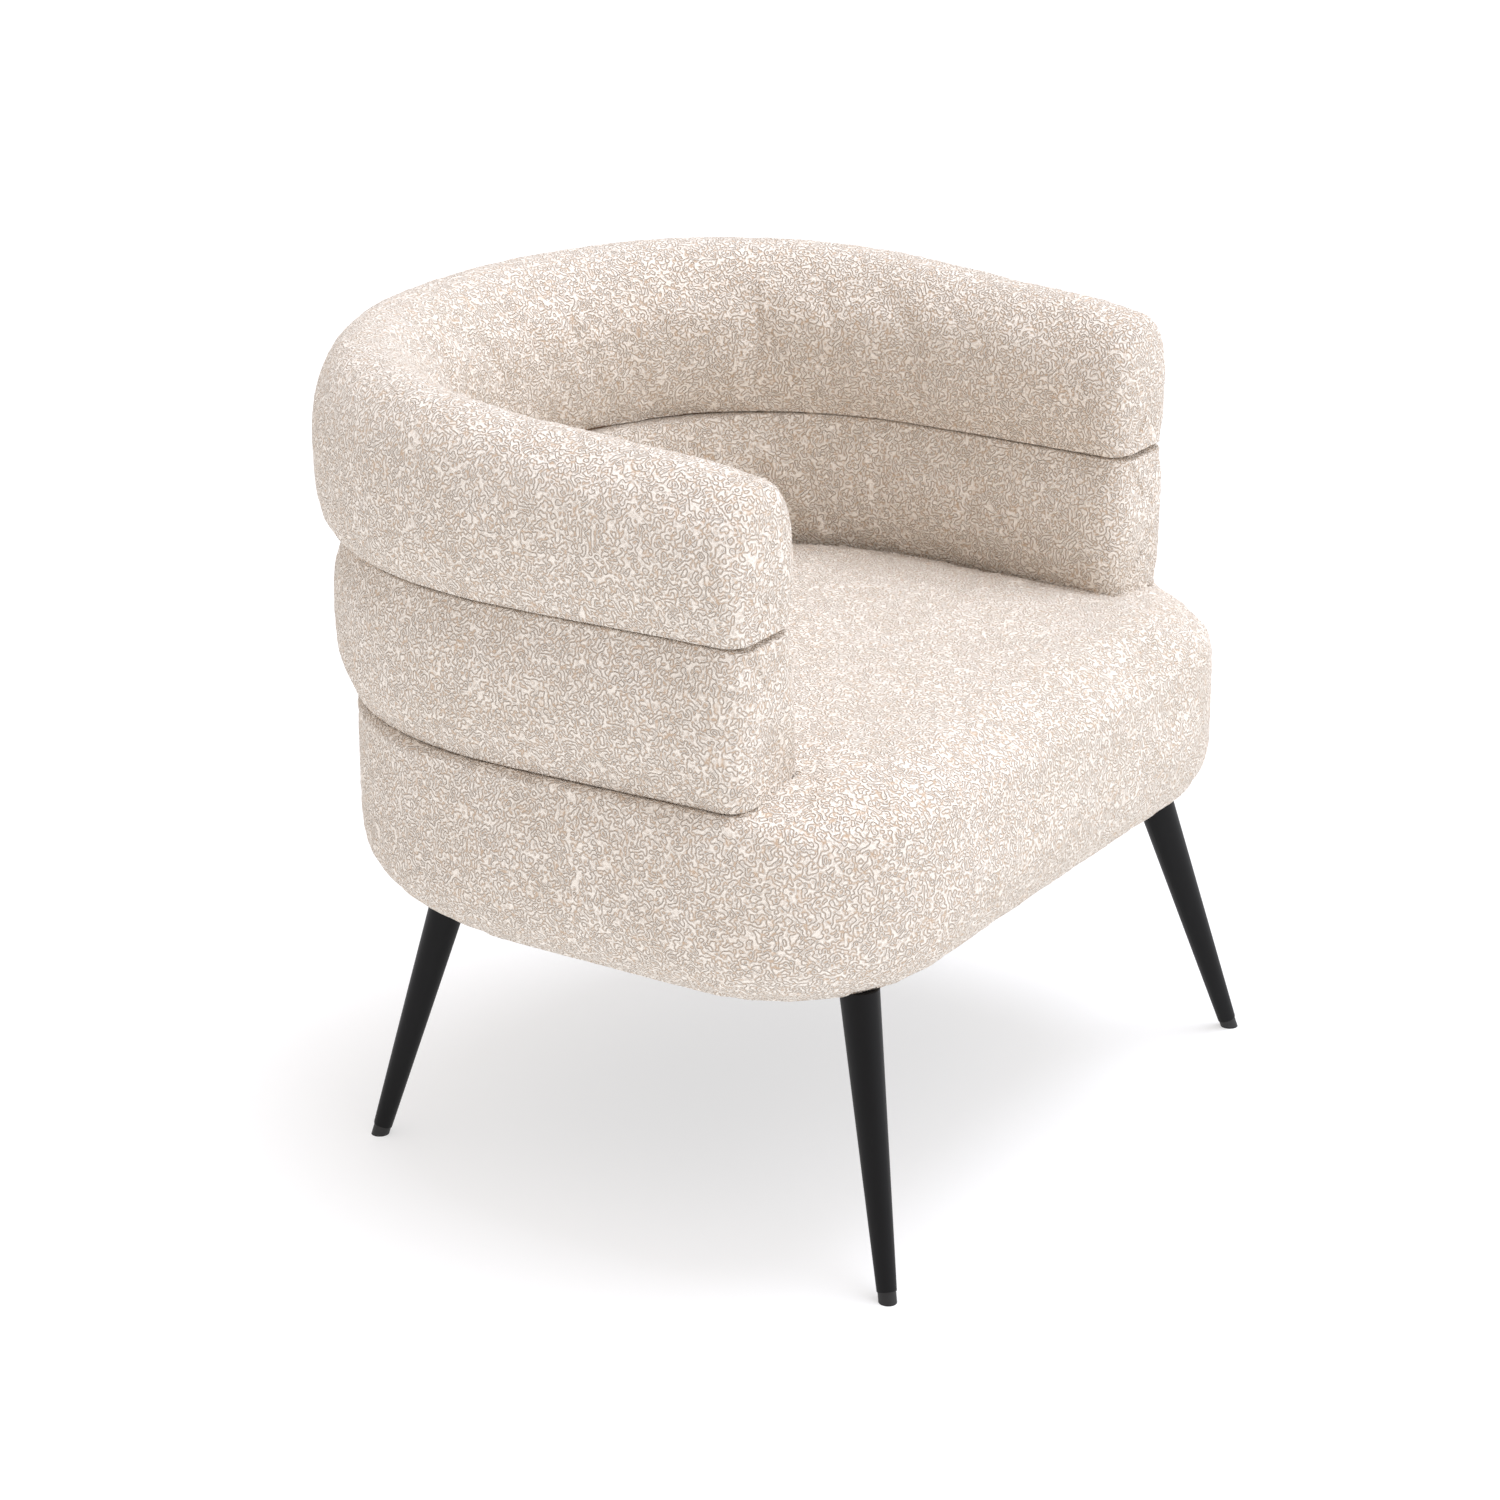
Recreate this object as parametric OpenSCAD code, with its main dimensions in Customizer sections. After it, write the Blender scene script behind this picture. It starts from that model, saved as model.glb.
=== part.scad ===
// Barrel-shaped upholstered armchair. A padded seat block carries two stacked rolls that
// wrap round the back and arms in one horseshoe. Inside are plywood rings, ribs and posts,
// sinuous seat springs and foam. Four splayed, tapered legs screw into corner blocks.
// Origin: middle of the footprint, on the floor. +Z is up and the open front faces -Y.

/* [Overall] */
// Height of the back above the floor
overall_h = 720; // [700:1:750]
// Half the width over the arms
arm_half_w = 389; // [380:1:400]
// Front-to-back place where the curved back runs into the straight arms
bend_y = -8; // [-20:1:10]

/* [Rolls] */
// Thickness of the rolls, from outer to inner face
roll_t = 112; // [108:1:120]
// Height of the seam under the upper roll
upper_seam_z = 555; // [545:1:565]
// Height of the seam between the seat block and the lower roll
lower_seam_z = 417; // [410:1:425]
// Rearmost point of the upper roll
upper_back_y = 359.5; // [345:0.5:370]
// Rearmost point of the lower roll
lower_back_y = 327; // [315:0.5:340]
// Front face of both arms
arm_end_y = -236; // [-250:1:-200]
// How far the arms turn in at the front
toe_in = 6; // [0:1:25]
// How far the top edge falls from the back to the arm fronts
front_drop = 34; // [0:1:40]
// Depth of the crease at each seam
crease = 10; // [4:1:14]
// Rounding of the arms' front panels
arm_end_r = 18; // [10:1:30]

/* [Seat block] */
// Underside of the block
block_z = 240; // [230:1:250]
// Front face of the block
block_front_y = -354.5; // [-365:0.5:-340]
// Back face of the block
block_back_y = 294; // [280:0.5:300]
// Radius of the block's front corners
corner_r = 179; // [150:1:190]
// Rounding under the block
bottom_r = 64; // [55:1:70]
// Rounding along the top of the block's front
top_r = 38; // [30:1:45]
// Rise of the seat from its edge to the middle
seat_crown = 15; // [5:1:20]
// How far in from the edge the seat keeps rising
crown_w = 110; // [60:5:130]

/* [Legs] */
// Half the distance between the front feet
front_foot_x = 323.5; // [310:0.5:330]
// Front feet, front to back
front_foot_y = -349.7; // [-352:0.1:-340]
// Half the distance between the back feet
back_foot_x = 302; // [290:0.5:310]
// Back feet, front to back
back_foot_y = 196; // [185:0.5:205]
// Leg radius at the foot
leg_r_foot = 8.5; // [7:0.5:10]
// Leg radius at the seat block
leg_r_top = 17.5; // [14:0.5:18]

/* [Materials] */
// Thickness of the cover fabric
cover_t = 2.5; // [2:0.5:3]
// Thickness of the plywood rings and ribs
ply_t = 18; // [15:1:18]

/* [Hidden] */
gap = 0.3;
fine = 48;

// Colours
fabric = [0.90, 0.87, 0.83];
foam = [0.95, 0.90, 0.70];
felt = [0.55, 0.55, 0.53];
plywood = [0.80, 0.66, 0.46];
timber = [0.74, 0.56, 0.36];
steel = [0.70, 0.71, 0.73];
black = [0.05, 0.05, 0.05];

// Plan curves are superellipses: one exponent for each tier
upper_exp = 2.14;
lower_exp = 2.25;
block_exp = 2.36;
// Under the rolls the block's top edge is rounded less than at the front
side_edge_share = 0.35;
arc_steps = 11;
run_steps = 3;
dome_share = 0.58;
dome_exp = 2.2;

// Frame heights
ring_z = block_z + 7;
spring_ring_z = block_z + 90;
spring_z = spring_ring_z + ply_t;
pad_z = spring_z + 5.3;
pad_t = 4;
seat_foam_z = pad_z + pad_t + gap;
lower_rib_z = lower_seam_z + 3;
middle_rib_z = upper_seam_z - ply_t / 2;
top_rib_z = upper_seam_z + 85;
panel_top_z = top_rib_z + ply_t;

// Frame plan: insets from the block's outline, and the ribs' centre line in the rolls
ring_in = 47;
ring_w = 60;
spring_ring_in = 20;
rib_w = 44;
rib_half_w = arm_half_w - roll_t / 2;
rib_end_y = arm_end_y + 36;
back_rake = 0.225;
rib_back_foot_y = 238.5;
post_w = 34;
post_depth = 24;
panel_gap = 2.5;
panel_t = 3;

// Legs: front left, front right, back left, back right
leg_side = [-1, 1, -1, 1];
front_lean = [0.231, 0.262];
back_lean = [0.223, 0.218];
leg_turn = 37;
glide_r = 7.8;
glide_len = 9;
stud_r = 4;
insert_r = 6;
stud_grip = 28;
stud_reach = 50;

// Springs
spring_x = [-180, -90, 0, 90, 180];
spring_pitch = 48;
spring_swing = 20;
wire_r = 1.8;
spring_front_y = block_front_y + 58;
spring_turns = 10;
spring_steps = 6;
spring_back_y = spring_front_y + spring_pitch * spring_turns;

// ---------- plan curves ----------

// A point of a superellipse quarter: a = half width, back = rearmost y, angle 90 at the back
function arc_point(a, back, e, angle) =
    [a * pow(max(cos(angle), 0), 2 / e),
     bend_y + (back - bend_y) * pow(max(sin(angle), 0), 2 / e)];

// Inward turn of an arm at a given y, level again at the arm's end so that the end face is square
function turn_in(y) = let (s = max(bend_y - y, 0) / (bend_y - arm_end_y)) toe_in * s * s * (3 - 2 * s);

// Right half of a horseshoe, from the middle of the back to the arm's end
function half_path(a, back, e, y_end) = concat(
    [for (i = [0 : arc_steps]) arc_point(a, back, e, 90 - 90 * i / arc_steps)],
    [for (i = [1 : run_steps]) let (y = bend_y + (y_end - bend_y) * i / run_steps)
        [a - turn_in(y), y]]);

function mirrored(half) = [for (i = [len(half) - 1 : -1 : 1]) [-half[i][0], half[i][1]]];

function horseshoe(a, back, e, y_end) = let (half = half_path(a, back, e, y_end))
    concat(mirrored(half), half);

// Outward normal at point i of an open path that runs left, back, right
function normal_at(path, i) =
    let (d = path[min(i + 1, len(path) - 1)] - path[max(i - 1, 0)])
    [-d[1], d[0]] / norm(d);

function inset_path(path, depth) =
    [for (i = [0 : len(path) - 1]) path[i] - depth * normal_at(path, i)];

// Strip between two insets of an open path
module band(path, from, to) {
    outer = inset_path(path, from);
    inner = inset_path(path, to);
    polygon(concat(outer, [for (i = [len(inner) - 1 : -1 : 0]) inner[i]]));
}

// Closed outline of the seat block, from the back round the right side to the front
function block_half() =
    let (a = arm_half_w - 1, cx = a - corner_r, cy = block_front_y + corner_r)
    concat(
        [for (i = [0 : arc_steps]) arc_point(a, block_back_y, block_exp, 90 - 90 * i / arc_steps)],
        [[a, (bend_y + cy) / 2]],
        [for (i = [0 : 6]) [cx + corner_r * cos(15 * i), cy - corner_r * sin(15 * i)]],
        [[cx / 2, block_front_y], [0, block_front_y]]);

function block_outline() = let (half = block_half())
    concat(half, [for (i = [len(half) - 2 : -1 : 1]) [-half[i][0], half[i][1]]]);

function closed_normal(path, i) = let (n = len(path), d = path[(i + 1) % n] - path[(i + n - 1) % n])
    [-d[1], d[0]] / norm(d);

function inset_outline(depth) = let (path = block_outline())
    [for (i = [0 : len(path) - 1]) path[i] - depth * closed_normal(path, i)];

module block_prism(depth, z0, z1) {
    translate([0, 0, z0])
        linear_extrude(z1 - z0)
            polygon(inset_outline(depth));
}

// ---------- lofted solids ----------

// A closed solid through rings of points, each ring with the same number of points
module loft(rings) {
    n = len(rings[0]);
    last = len(rings) - 1;
    points = [for (ring = rings) for (p = ring) p];
    sides = [for (i = [0 : last - 1]) for (j = [0 : n - 1]) let (k = (j + 1) % n)
        each [[i * n + j, i * n + k, (i + 1) * n + k], [i * n + j, (i + 1) * n + k, (i + 1) * n + j]]];
    caps = [[for (j = [n - 1 : -1 : 0]) j], [for (j = [0 : n - 1]) last * n + j]];
    polyhedron(points = points, faces = concat(sides, caps));
}

// Section of a roll as [offset from its middle, height share], from the lower inside over the top.
// A domed section is round on top; a plain one has a crease at both seams.
function side_profile(domed, inset) = domed
    ? concat([for (s = [0, 0.08, 0.2]) [1 - pinch(s / (1 - dome_share), inset), s]],
        [for (q = [0 : 18 : 89]) [pow(cos(q), 2 / dome_exp),
            1 - dome_share + dome_share * pow(sin(q), 2 / dome_exp)]])
    : [for (s = [0, 0.06, 0.2, 0.5, 0.8, 0.94, 1]) [1 - pinch(1 - abs(2 * s - 1), inset), s]];

function pinch(s, inset) = crease / (roll_t / 2) * pow(max(1 - s, 0), 3);

function section(domed, inset) = let (side = side_profile(domed, inset), n = len(side))
    concat([for (s = side) [-s[0], s[1]]], domed ? [[0, 1]] : [], [for (i = [n - 1 : -1 : 0]) side[i]]);

// Top edge of the upper roll: it falls towards the front
function fall(y) = front_drop * pow((upper_back_y - y) / (upper_back_y - arm_end_y), 2);

// One ring of a roll: the section at point p, drawn in by an inset
function roll_ring(shape, p, out, z0, z1, inset) =
    let (half_t = roll_t / 2 - inset, c = p - out * (roll_t / 2))
    [for (s = shape) [c[0] + out[0] * s[0] * half_t, c[1] + out[1] * s[0] * half_t,
        z0 + inset + (z1 - z0 - 2 * inset) * s[1]]];

// A horseshoe roll between two heights, drawn in by an inset on every side
module roll(back, e, z0, domed, inset) {
    path = horseshoe(arm_half_w, back, e, arm_end_y + arm_end_r);
    last = len(path) - 1;
    shape = section(domed, inset);
    body = [for (i = [0 : last]) let (p = path[i])
        roll_ring(shape, p, normal_at(path, i), z0, domed ? overall_h - fall(p[1]) : upper_seam_z, inset)];
    ends = [for (side = [0, last]) let (p = path[side], out = normal_at(path, side),
            z1 = domed ? overall_h - fall(p[1]) : upper_seam_z,
            ahead = [out[1], -out[0]] * (side == 0 ? -1 : 1))
        [for (q = [35, 65, 90]) let (shrink = arm_end_r * (1 - cos(q)), step = (arm_end_r - inset) * sin(q))
            [for (v = roll_ring(shape, p, out, z0, z1, inset + shrink))
                v + [ahead[0] * step, ahead[1] * step, 0]]]];
    loft(concat([for (i = [2 : -1 : 0]) ends[0][i]], body, ends[1]));
}

module upper_roll(inset) {
    roll(upper_back_y, upper_exp, upper_seam_z, true, inset);
}

module lower_roll(inset) {
    roll(lower_back_y, lower_exp, lower_seam_z, false, inset);
}

// Footprint of the lower roll, above the seat block
module roll_footprint(spare) {
    path = horseshoe(arm_half_w, lower_back_y, lower_exp, arm_end_y - spare);
    translate([0, 0, lower_seam_z - spare])
        linear_extrude(seat_crown + 20)
            band(path, -spare, roll_t + spare);
}

// Rounding of the block's top edge at a given y: full at the front, less under the rolls
function edge_r(y) = let (ahead = min(max((arm_end_y + 30 - y) / 60, 0), 1))
    top_r * (side_edge_share + (1 - side_edge_share) * ahead);

// The seat block's outer shape: rounded below and above, crowned on top
module seat_block(inset) {
    path = block_outline();
    count = len(path);
    under = [for (q = [0, 25, 50, 75, 90])
        [for (i = [0 : count - 1])
            block_point(path, i, bottom_r * (1 - sin(q)) + inset, block_z + bottom_r * (1 - cos(q)) + inset)]];
    over = [for (q = [0, 30, 60, 90])
        [for (i = [0 : count - 1]) let (r = edge_r(path[i][1]))
            block_point(path, i, r * (1 - cos(q)) + inset, lower_seam_z - r * (1 - sin(q)) - inset)]];
    crown = [for (s = [0.35, 0.7, 1])
        [for (i = [0 : count - 1])
            block_point(path, i, edge_r(path[i][1]) + crown_w * s, lower_seam_z + seat_crown * sin(90 * s) - inset)]];
    loft(concat(under, over, crown));
}

function block_point(path, i, depth, z) = let (p = path[i] - depth * closed_normal(path, i))
    [p[0], p[1], z];

// ---------- legs ----------

function leg_back(i) = i > 1;
function foot_x(i) = leg_side[i] * (leg_back(i) ? back_foot_x : front_foot_x);
function foot_y(i) = leg_back(i) ? back_foot_y : front_foot_y;
function leg_lean(i) = leg_back(i) ? [-leg_side[i] * back_lean[0], -back_lean[1]]
    : [-leg_side[i] * front_lean[0], front_lean[1]];
function leg_tilt(i) = atan(norm(leg_lean(i)));
// Length along a leg's axis that reaches a height
function axial(i, z) = z / cos(leg_tilt(i));

// Children stand on the foot's centre with +Z up the leg
module along_leg(i) {
    lean = leg_lean(i);
    translate([foot_x(i), foot_y(i), 0])
        rotate([0, leg_tilt(i), atan2(lean[1], lean[0])])
            rotate([0, 0, leg_turn])
                children();
}

module slab(z0, z1) {
    translate([-500, -500, z0])
        cube([1000, 1000, z1 - z0]);
}

module all_leg_holes(r) {
    for (i = [0 : 3])
        along_leg(i)
            cylinder(h = axial(i, ring_z) + 10, r = r, $fn = fine);
}

module leg(i) {
    color(black)
        difference() {
            along_leg(i)
                translate([0, 0, glide_len])
                    cylinder(h = axial(i, ring_z) + 10 - glide_len, r1 = leg_r_foot, r2 = leg_r_top, $fn = fine);
            slab(ring_z, ring_z + 60);
            along_leg(i)
                translate([0, 0, axial(i, ring_z) - stud_grip])
                    cylinder(h = stud_grip + 30, r = stud_r, $fn = fine);
        }
}

module glide(i) {
    color(black)
        difference() {
            along_leg(i)
                translate([0, 0, -10])
                    cylinder(h = 10 + glide_len, r = glide_r, $fn = fine);
            slab(-30, 0);
        }
}

module leg_block(i) {
    at_z = ring_z + ply_t + 20;
    color(timber)
        difference() {
            intersection() {
                block_prism(ring_in + 2, ring_z + ply_t, spring_ring_z);
                translate([foot_x(i) + leg_lean(i)[0] * at_z, foot_y(i) + leg_lean(i)[1] * at_z, 0])
                    translate([-45, -40, 0])
                        cube([90, 80, spring_ring_z]);
            }
            along_leg(i)
                cylinder(h = axial(i, ring_z) + stud_reach, r = stud_r, $fn = fine);
            along_leg(i)
                cylinder(h = axial(i, ring_z + ply_t) + 24, r = insert_r, $fn = fine);
            block_screw_set(i, 0);
        }
}

module leg_studs() {
    color(steel)
        for (i = [0 : 3])
            along_leg(i)
                translate([0, 0, axial(i, ring_z) - stud_grip])
                    cylinder(h = stud_grip + stud_reach, r = stud_r, $fn = fine);
}

module threaded_inserts() {
    color(steel)
        for (i = [0 : 3])
            along_leg(i)
                translate([0, 0, axial(i, ring_z + ply_t) + 4])
                    difference() {
                        cylinder(h = 20, r = insert_r, $fn = fine);
                        translate([0, 0, -1])
                            cylinder(h = 22, r = stud_r, $fn = fine);
                    }
}

// Two screws from below through the lower ring into each leg block
module block_screw_set(i, spare) {
    at_z = ring_z + ply_t + 20;
    for (side = [-1, 1])
        translate([foot_x(i) + leg_lean(i)[0] * at_z - leg_side[i] * 22,
                foot_y(i) + leg_lean(i)[1] * at_z + side * 22, ring_z]) {
            cylinder(h = 4, r = 4 + spare, $fn = fine);
            cylinder(h = 50, r = 2 + spare, $fn = fine);
        }
}

module block_screws() {
    color(steel)
        for (i = [0 : 3])
            block_screw_set(i, 0);
}

// ---------- base frame ----------

module ring_shape(z, from, to) {
    difference() {
        block_prism(from, z, z + ply_t);
        block_prism(to, z - 1, z + ply_t + 1);
    }
}

module lower_seat_ring() {
    color(plywood)
        difference() {
            ring_shape(ring_z, ring_in, ring_in + ring_w);
            for (i = [0 : 3]) {
                along_leg(i)
                    cylinder(h = axial(i, ring_z) + 60, r = stud_r + 0.2, $fn = fine);
                block_screw_set(i, 0);
            }
            staple_set(0.1);
        }
}

module spring_ring() {
    color(plywood)
        difference() {
            ring_shape(spring_ring_z, spring_ring_in, spring_ring_in + ring_w);
            post_screw_set();
        }
}

// Blocks between the two rings: [x, y, turn]
spacers = [[-120, block_front_y + 72, 0], [120, block_front_y + 72, 0],
    [-arm_half_w + 76, -60, 90], [arm_half_w - 76, -60, 90],
    [-80, block_back_y - 74, 0], [80, block_back_y - 74, 0]];

module ring_spacer(i) {
    color(timber)
        translate([spacers[i][0], spacers[i][1], ring_z + ply_t])
            rotate([0, 0, spacers[i][2]])
                translate([-30, -14, 0])
                    cube([60, 28, spring_ring_z - ring_z - ply_t]);
}

// ---------- back frame ----------

// Rearmost point of the frame's centre line at a height: the back leans outwards
function rib_back(z) = rib_back_foot_y + back_rake * (z - spring_z);

function rib_path(z) = horseshoe(rib_half_w, rib_back(z), 2.2, rib_end_y);

module rib(z) {
    color(plywood)
        difference() {
            translate([0, 0, z])
                linear_extrude(ply_t)
                    band(rib_path(z + ply_t / 2), -rib_w / 2, rib_w / 2);
            for (i = [0 : 4])
                post_shape(i, 0.2);
        }
}

// Posts: left arm, right arm, then three across the back, as [x at the foot, y at the foot, turn]
posts = [[-rib_half_w + 8, -150, 90], [rib_half_w - 8, -150, -90],
    [-175, 209, 22], [0, rib_back_foot_y, 0], [175, 209, -22]];

// The outer half of the rib's width holds the posts; those in the back lean with it
module post_shape(i, spare) {
    rake = [0, 0, 0.88, 1, 0.88][i] * atan(back_rake);
    length = panel_top_z - spring_z;
    translate([posts[i][0], posts[i][1], spring_z])
        rotate([-rake, 0, 0])
            rotate([0, 0, posts[i][2]])
                translate([-post_w / 2 - spare, -2 - spare, -10])
                    cube([post_w + 2 * spare, post_depth + 2 * spare, length / cos(rake) + 20]);
}

module post(i) {
    color(timber)
        difference() {
            post_shape(i, 0);
            slab(panel_top_z, panel_top_z + 60);
            slab(spring_z - 60, spring_z);
            post_screw_set();
        }
}

// One screw up through the spring ring into each post
module post_screw_set() {
    for (p = posts)
        translate([p[0] + sin(-p[2]) * 10, p[1] + cos(p[2]) * 10, spring_ring_z]) {
            cylinder(h = 4, r = 5, $fn = fine);
            cylinder(h = 55, r = 2.5, $fn = fine);
        }
}

module post_screws() {
    color(steel)
        post_screw_set();
}

// A leaning sheet that follows the ribs between two insets from their centre line
module rib_sheet(from, to, z0, z1, y_end) {
    low = horseshoe(rib_half_w, rib_back(z0), 2.2, y_end);
    high = horseshoe(rib_half_w, rib_back(z1), 2.2, y_end);
    loft([for (i = [0 : len(low) - 1])
        let (a = inset_path(low, from)[i], b = inset_path(low, to)[i],
            c = inset_path(high, to)[i], d = inset_path(high, from)[i])
        [[a[0], a[1], z0], [b[0], b[1], z0], [c[0], c[1], z1], [d[0], d[1], z1]]]);
}

module inner_panel() {
    color(timber)
        rib_sheet(rib_w / 2 + panel_gap, rib_w / 2 + panel_gap + panel_t,
            lower_rib_z, panel_top_z, rib_end_y);
}

// Room for the frame inside the rolls
module frame_room(z0, z1) {
    rib_sheet(-rib_w / 2 - 2, rib_w / 2 + panel_gap + panel_t + 1, z0, z1, rib_end_y - 1);
}

// ---------- springs ----------

// A sinuous wire as a square tube swept along a snaking line
module spring_wire(x) {
    count = spring_turns * spring_steps;
    centre = [for (i = [0 : count])
        [x + spring_swing * sin(360 * i / spring_steps),
            spring_front_y + spring_pitch * i / spring_steps]];
    z = spring_z + wire_r + gap;
    loft([for (i = [0 : count]) let (out = normal_at(centre, i) * wire_r, p = centre[i])
        [[p[0] + out[0], p[1] + out[1], z], [p[0], p[1], z - wire_r],
         [p[0] - out[0], p[1] - out[1], z], [p[0], p[1], z + wire_r]]]);
}

module seat_springs() {
    color(steel)
        for (x = spring_x)
            spring_wire(x);
}

// A bent steel clip over each end of every spring
module spring_clips() {
    color(steel)
        for (x = spring_x)
            for (y = [spring_front_y, spring_back_y])
                translate([x - 10, y - 5, spring_z])
                    difference() {
                        cube([20, 10, 5]);
                        translate([1, -1, -1])
                            cube([18, 12, 5]);
                    }
}

module spring_pad() {
    color(felt)
        block_prism(spring_ring_in + ring_w - 10, pad_z, pad_z + pad_t);
}

// ---------- padding ----------

module seat_foam() {
    color(foam)
        difference() {
            seat_block(cover_t + gap);
            slab(block_z - 10, seat_foam_z);
            roll_footprint(2 * gap);
            for (i = [0 : 4])
                post_shape(i, 0.5);
        }
}

module edge_foam() {
    color(foam)
        difference() {
            seat_block(cover_t + gap);
            slab(seat_foam_z - gap, overall_h);
            scale([0.999, 0.999, 1])
                block_prism(ring_in - 2, block_z - 10, spring_ring_z);
            block_prism(spring_ring_in - gap, spring_ring_z - gap, seat_foam_z + 1);
            all_leg_holes(leg_r_top + 0.5);
        }
}

module lower_roll_foam() {
    color(foam)
        difference() {
            lower_roll(cover_t + gap);
            frame_room(lower_seam_z - 5, upper_seam_z + 5);
        }
}

module upper_roll_foam() {
    color(foam)
        difference() {
            upper_roll(cover_t + gap);
            frame_room(upper_seam_z - 5, panel_top_z + gap);
        }
}

// ---------- covers ----------

module base_cover() {
    color(fabric)
        difference() {
            seat_block(0);
            seat_block(cover_t);
            roll_footprint(gap);
            block_prism(bottom_r + 12, block_z - 10, block_z + 10);
            all_leg_holes(leg_r_top);
            for (i = [0 : 4])
                post_shape(i, 0.5);
        }
}

module lower_roll_cover() {
    color(fabric)
        difference() {
            lower_roll(0);
            lower_roll(cover_t);
            frame_room(lower_seam_z - 5, upper_seam_z + 5);
        }
}

module upper_roll_cover() {
    color(fabric)
        difference() {
            upper_roll(0);
            upper_roll(cover_t);
            frame_room(upper_seam_z - 5, upper_seam_z + 12);
        }
}

module dust_cover() {
    color(black)
        difference() {
            block_prism(bottom_r + 3, block_z - 1, block_z - 0.1);
            all_leg_holes(leg_r_top + 1);
            staple_set(0.1);
        }
}

// Staples that hold the dust cover, along the straight front and the sides
staple_spots = concat([for (x = [-150 : 50 : 150]) [x, block_front_y + bottom_r + 18, 0]],
    [for (side = [-1, 1]) for (y = [-130 : 60 : 50]) [side * (arm_half_w - bottom_r - 19), y, 90]]);

module staple_set(spare) {
    for (s = staple_spots)
        translate([s[0], s[1], block_z - 1.8])
            rotate([0, 0, s[2]]) {
                translate([-5 - spare, -0.4 - spare, 0])
                    cube([10 + 2 * spare, 0.8 + 2 * spare, 0.8]);
                for (x = [-5, 4.2])
                    translate([x - spare, -0.4 - spare, 0])
                        cube([0.8 + 2 * spare, 0.8 + 2 * spare, 12]);
            }
}

module cover_staples() {
    color(steel)
        staple_set(0);
}

base_cover();
lower_roll_cover();
upper_roll_cover();
dust_cover();
seat_foam();
edge_foam();
lower_roll_foam();
upper_roll_foam();
spring_pad();
seat_springs();
spring_clips();
lower_seat_ring();
spring_ring();
leg_block(0);  // leg_block_front_left
leg_block(1);  // leg_block_front_right
leg_block(2);  // leg_block_back_left
leg_block(3);  // leg_block_back_right
ring_spacer(0);  // ring_spacer_front_left
ring_spacer(1);  // ring_spacer_front_right
ring_spacer(2);  // ring_spacer_left
ring_spacer(3);  // ring_spacer_right
ring_spacer(4);  // ring_spacer_back_left
ring_spacer(5);  // ring_spacer_back_right
rib(lower_rib_z);  // lower_rib
rib(middle_rib_z);  // middle_rib
rib(top_rib_z);  // top_rib
post(0);  // arm_post_left
post(1);  // arm_post_right
post(2);  // back_post_left
post(3);  // back_post_centre
post(4);  // back_post_right
inner_panel();
leg(0);  // leg_front_left
leg(1);  // leg_front_right
leg(2);  // leg_back_left
leg(3);  // leg_back_right
glide(0);  // glide_front_left
glide(1);  // glide_front_right
glide(2);  // glide_back_left
glide(3);  // glide_back_right
leg_studs();
threaded_inserts();
block_screws();
post_screws();
cover_staples();
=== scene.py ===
"""Looks of the upholstered armchair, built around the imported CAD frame. Everything is in metres."""

import math

import bmesh
import bpy
import numpy as np
from mathutils import Matrix, Vector
from mathutils.bvhtree import BVHTree


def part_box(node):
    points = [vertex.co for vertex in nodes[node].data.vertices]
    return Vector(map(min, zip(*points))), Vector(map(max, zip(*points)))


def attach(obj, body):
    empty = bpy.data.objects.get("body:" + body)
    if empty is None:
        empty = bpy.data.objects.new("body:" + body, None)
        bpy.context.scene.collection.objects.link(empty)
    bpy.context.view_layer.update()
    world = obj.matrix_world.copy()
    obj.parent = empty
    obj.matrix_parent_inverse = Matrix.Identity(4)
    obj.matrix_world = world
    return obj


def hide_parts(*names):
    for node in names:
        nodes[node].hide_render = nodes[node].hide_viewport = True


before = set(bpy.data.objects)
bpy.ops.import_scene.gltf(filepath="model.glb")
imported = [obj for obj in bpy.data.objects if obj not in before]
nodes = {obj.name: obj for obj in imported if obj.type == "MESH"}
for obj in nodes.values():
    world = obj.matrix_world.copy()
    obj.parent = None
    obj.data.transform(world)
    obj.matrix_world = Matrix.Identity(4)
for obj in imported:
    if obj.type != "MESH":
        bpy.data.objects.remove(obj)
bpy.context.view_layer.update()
scene = bpy.context.scene

# ---------- sizes from the CAD frame ----------

upper_low, upper_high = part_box("upper_roll_cover")
lower_low, lower_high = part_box("lower_roll_cover")
base_low, base_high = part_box("base_cover")
dust_low, dust_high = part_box("dust_cover")

HALF_W = upper_high.x
TOP_Z = upper_high.z
UPPER_SEAM = upper_low.z
LOWER_SEAM = lower_low.z
UPPER_BACK = upper_high.y
LOWER_BACK = lower_high.y
ARM_END = upper_low.y
BLOCK_Z = base_low.z
BLOCK_FRONT = base_low.y
BLOCK_BACK = base_high.y
BLOCK_HALF_W = base_high.x
SEAT_CROWN = base_high.z - LOWER_SEAM

# Shape of the upholstery. It follows the CAD source, except that three roundings are the sewn
# cover's own: the arm ends' (END_R), the seat edge's (TOP_R) and the seat's rise (CROWN_W).
BEND_Y = -0.008
ROLL_T = 0.112
TOE_IN = 0.006
FRONT_DROP = 0.034
CREASE = 0.010
END_R = 0.022
CORNER_R = 0.179
BOTTOM_R = 0.064
TOP_R = 0.023
UPPER_EXP, LOWER_EXP, BLOCK_EXP = 2.14, 2.25, 2.36
DOME_SHARE, DOME_EXP = 0.58, 2.2
CROWN_W = 0.060

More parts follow.
